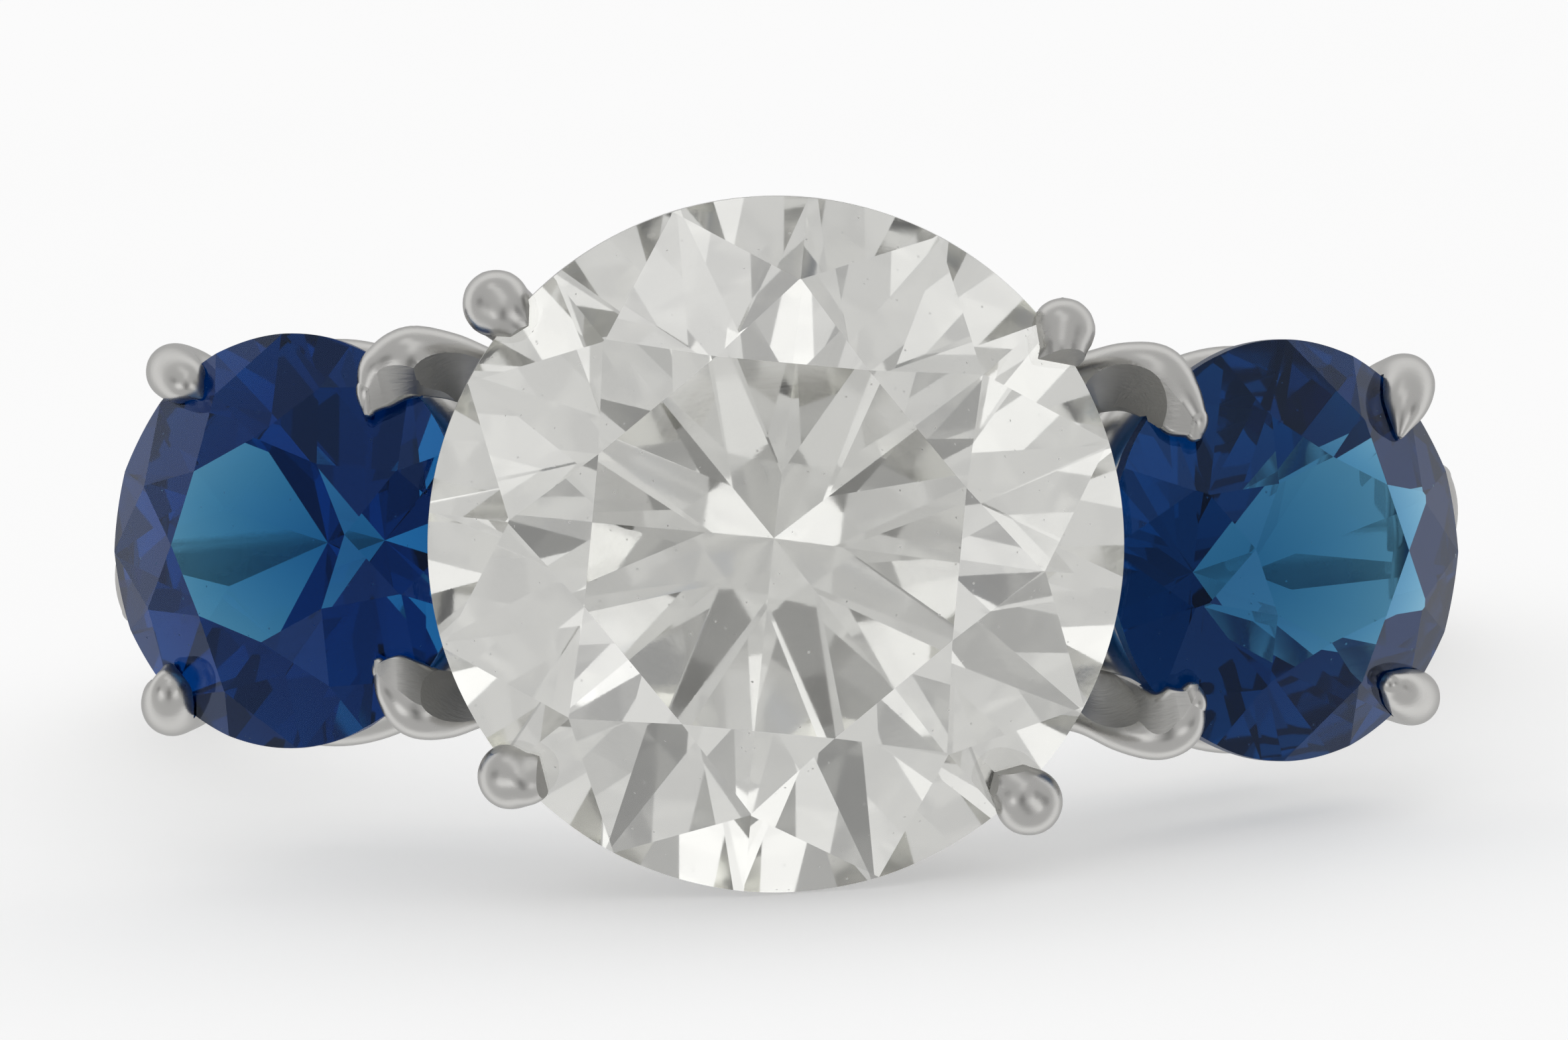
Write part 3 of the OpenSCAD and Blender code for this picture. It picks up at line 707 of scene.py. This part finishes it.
def build_floor():
    corners = [(x * FLOOR_SIZE, y * FLOOR_SIZE, 0) for x, y in ((-1, -1), (1, -1), (1, 1), (-1, 1))]
    obj = new_object("floor", corners, [[0, 1, 2, 3]])
    mat, tree, shader = new_material("floor")
    white = spread(tree, noise(tree, (1, 1, 1), FLOOR_SCALE), *FLOOR_WHITE)
    tree.links.new(white, shader.inputs["Base Color"])
    shader.inputs["Roughness"].default_value = FLOOR_ROUGH
    shader.inputs["Emission Color"].default_value = (1, 1, 1, 1)
    shader.inputs["Emission Strength"].default_value = FLOOR_GLOW
    obj.data.materials.append(mat)
    # The stones and the metal mirror the studio alone, as on a cut-out background
    obj.visible_glossy = False
    obj.visible_transmission = False
    obj.visible_shadow = False


def build_camera():
    data = bpy.data.cameras.new("camera")
    data.sensor_width = 36
    data.lens = data.sensor_width * VIEW_DISTANCE / VIEW_WIDTH
    data.clip_start, data.clip_end = 0.01, 20
    obj = bpy.data.objects.new("camera", data)
    bpy.context.scene.collection.objects.link(obj)
    at = LAID @ Matrix.Translation((*VIEW_AT, DIAMOND_AT.z + VIEW_DISTANCE))
    turn = at.to_quaternion().to_matrix().to_4x4()
    obj.matrix_world = Matrix.Translation(at.translation) @ turn
    bpy.context.scene.camera = obj
    return obj


def build_world(camera):
    """Soft studio in every direction, dimmer on the camera's side and in the zones."""
    world = bpy.data.worlds.new("studio")
    bpy.context.scene.world = world
    world.use_nodes = True
    tree = world.node_tree
    back = tree.nodes["Background"]
    coord = tree.nodes.new("ShaderNodeTexCoord")

    def math(operation, a, b=None, c=None):
        node = tree.nodes.new("ShaderNodeMath")
        node.operation = operation
        for socket, value in zip(node.inputs, (a, b, c)):
            if value is None:
                continue
            if isinstance(value, (int, float)):
                socket.default_value = value
            else:
                tree.links.new(value, socket)
        return node.outputs[0]

    def towards(direction):
        node = tree.nodes.new("ShaderNodeVectorMath")
        node.operation = "DOT_PRODUCT"
        node.inputs[1].default_value = direction
        tree.links.new(coord.outputs["Generated"], node.inputs[0])
        return node.outputs["Value"]

    def zone(direction, inner, outer):
        """1 within the inner angle of a direction, 0 beyond the outer one."""
        node = tree.nodes.new("ShaderNodeMapRange")
        node.interpolation_type = "SMOOTHSTEP"
        node.inputs["From Min"].default_value = cos(radians(outer))
        node.inputs["From Max"].default_value = cos(radians(inner))
        tree.links.new(towards(direction), node.inputs["Value"])
        return node.outputs["Result"]

    turn = camera.matrix_world.to_quaternion()

    def seen(right, up):
        """Direction at angles to the right of and above the camera's place, in the picture."""
        x, y = radians(right), radians(up)
        return turn @ Vector((sin(x) * cos(y), sin(y), cos(x) * cos(y)))

    front = zone(seen(0, 0), *FRONT_ENDS)
    level = math("MULTIPLY_ADD", front, FRONT_LIGHT - BACK_LIGHT, BACK_LIGHT)
    for right, up, inner, outer, light in STUDIO_ZONES:
        level = math("MULTIPLY_ADD", zone(seen(right, up), inner, outer), light, level)
    level = math("MAXIMUM", level, DIMMEST_LIGHT)
    tree.links.new(level, back.inputs["Strength"])
    back.inputs["Color"].default_value = (1, 1, 1, 1)


camera = build_camera()
build_floor()
build_world(camera)
scene = bpy.context.scene
scene.view_settings.view_transform = "Standard"
scene.cycles.max_bounces = 24
scene.cycles.transmission_bounces = 24
scene.cycles.glossy_bounces = 12
scene.cycles.use_denoising = True

# Stones: name, side, name and values of the material, and the node
STONES = [
    ("round_diamond", 0, "diamond", DIAMOND_LOOK, "diamond"),
    ("left_oval_sapphire", -1, "left_blue", LEFT_LOOK, "left_sapphire"),
    ("right_oval_sapphire", 1, "right_blue", RIGHT_LOOK, "right_sapphire")]
pieces = [(metal(platinum_material()), "mounting", "platinum")]
for name, side, look, values, node in STONES:
    pieces.append((stone(name, side, gem_material(look, *values)), node, node))
for piece, node, slot in pieces:
    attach(piece, "root")
    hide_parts(node)
